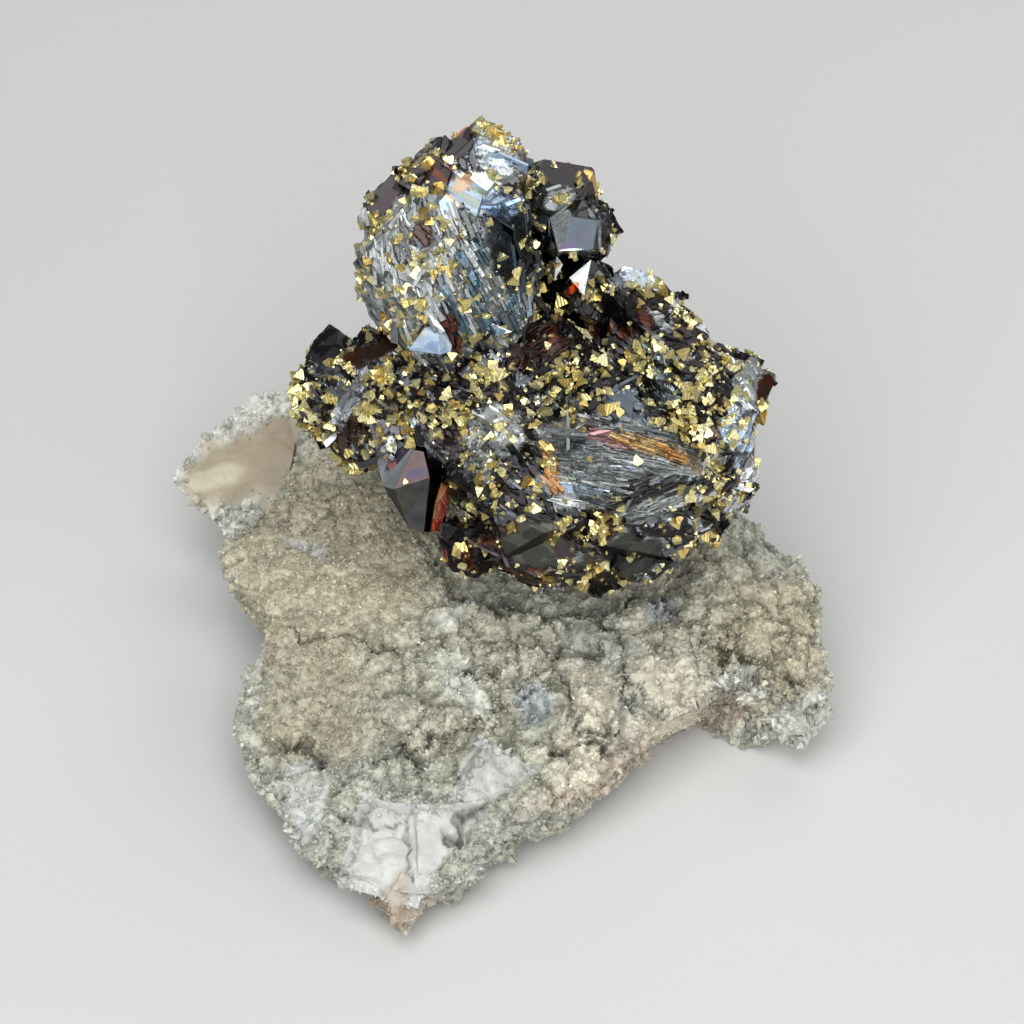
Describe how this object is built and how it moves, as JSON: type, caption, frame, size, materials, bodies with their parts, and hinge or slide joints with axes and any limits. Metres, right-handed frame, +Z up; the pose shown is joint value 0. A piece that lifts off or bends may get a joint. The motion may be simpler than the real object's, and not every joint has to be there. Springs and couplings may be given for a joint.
{
  "type": "sphalerite mineral specimen",
  "caption": "Hand-sized natural mineral specimen: dark sphalerite crystals dusted with brassy chalcopyrite, grown on a plate of rock under druzy quartz.",
  "frame": {"origin": "middle of the flat broken foot of the plate, on the surface it rests on", "axes": "+Z up, +Y from the thin front lip of the plate to the thick back where the crystals stand, +X to the right seen from the front"},
  "size_m": [0.0445, 0.0429, 0.0352],
  "materials": {
    "druse": "rough, fine sparkling quartz crystals",
    "carbonate": "satin broken faces",
    "sphalerite": "submetallic, mirror-like faces with fine striations",
    "chalcopyrite": "bright brassy metallic"
  },
  "bodies": {
    "root": {"druzy_plate": "druse", "carbonate_ledge": "carbonate", "ruby_crystal": "sphalerite", "pyramid_crystal": "sphalerite", "tower_crystal": "sphalerite", "summit_crystal": "sphalerite", "intergrown_crystals": "sphalerite"}
  },
  "joints": []
}
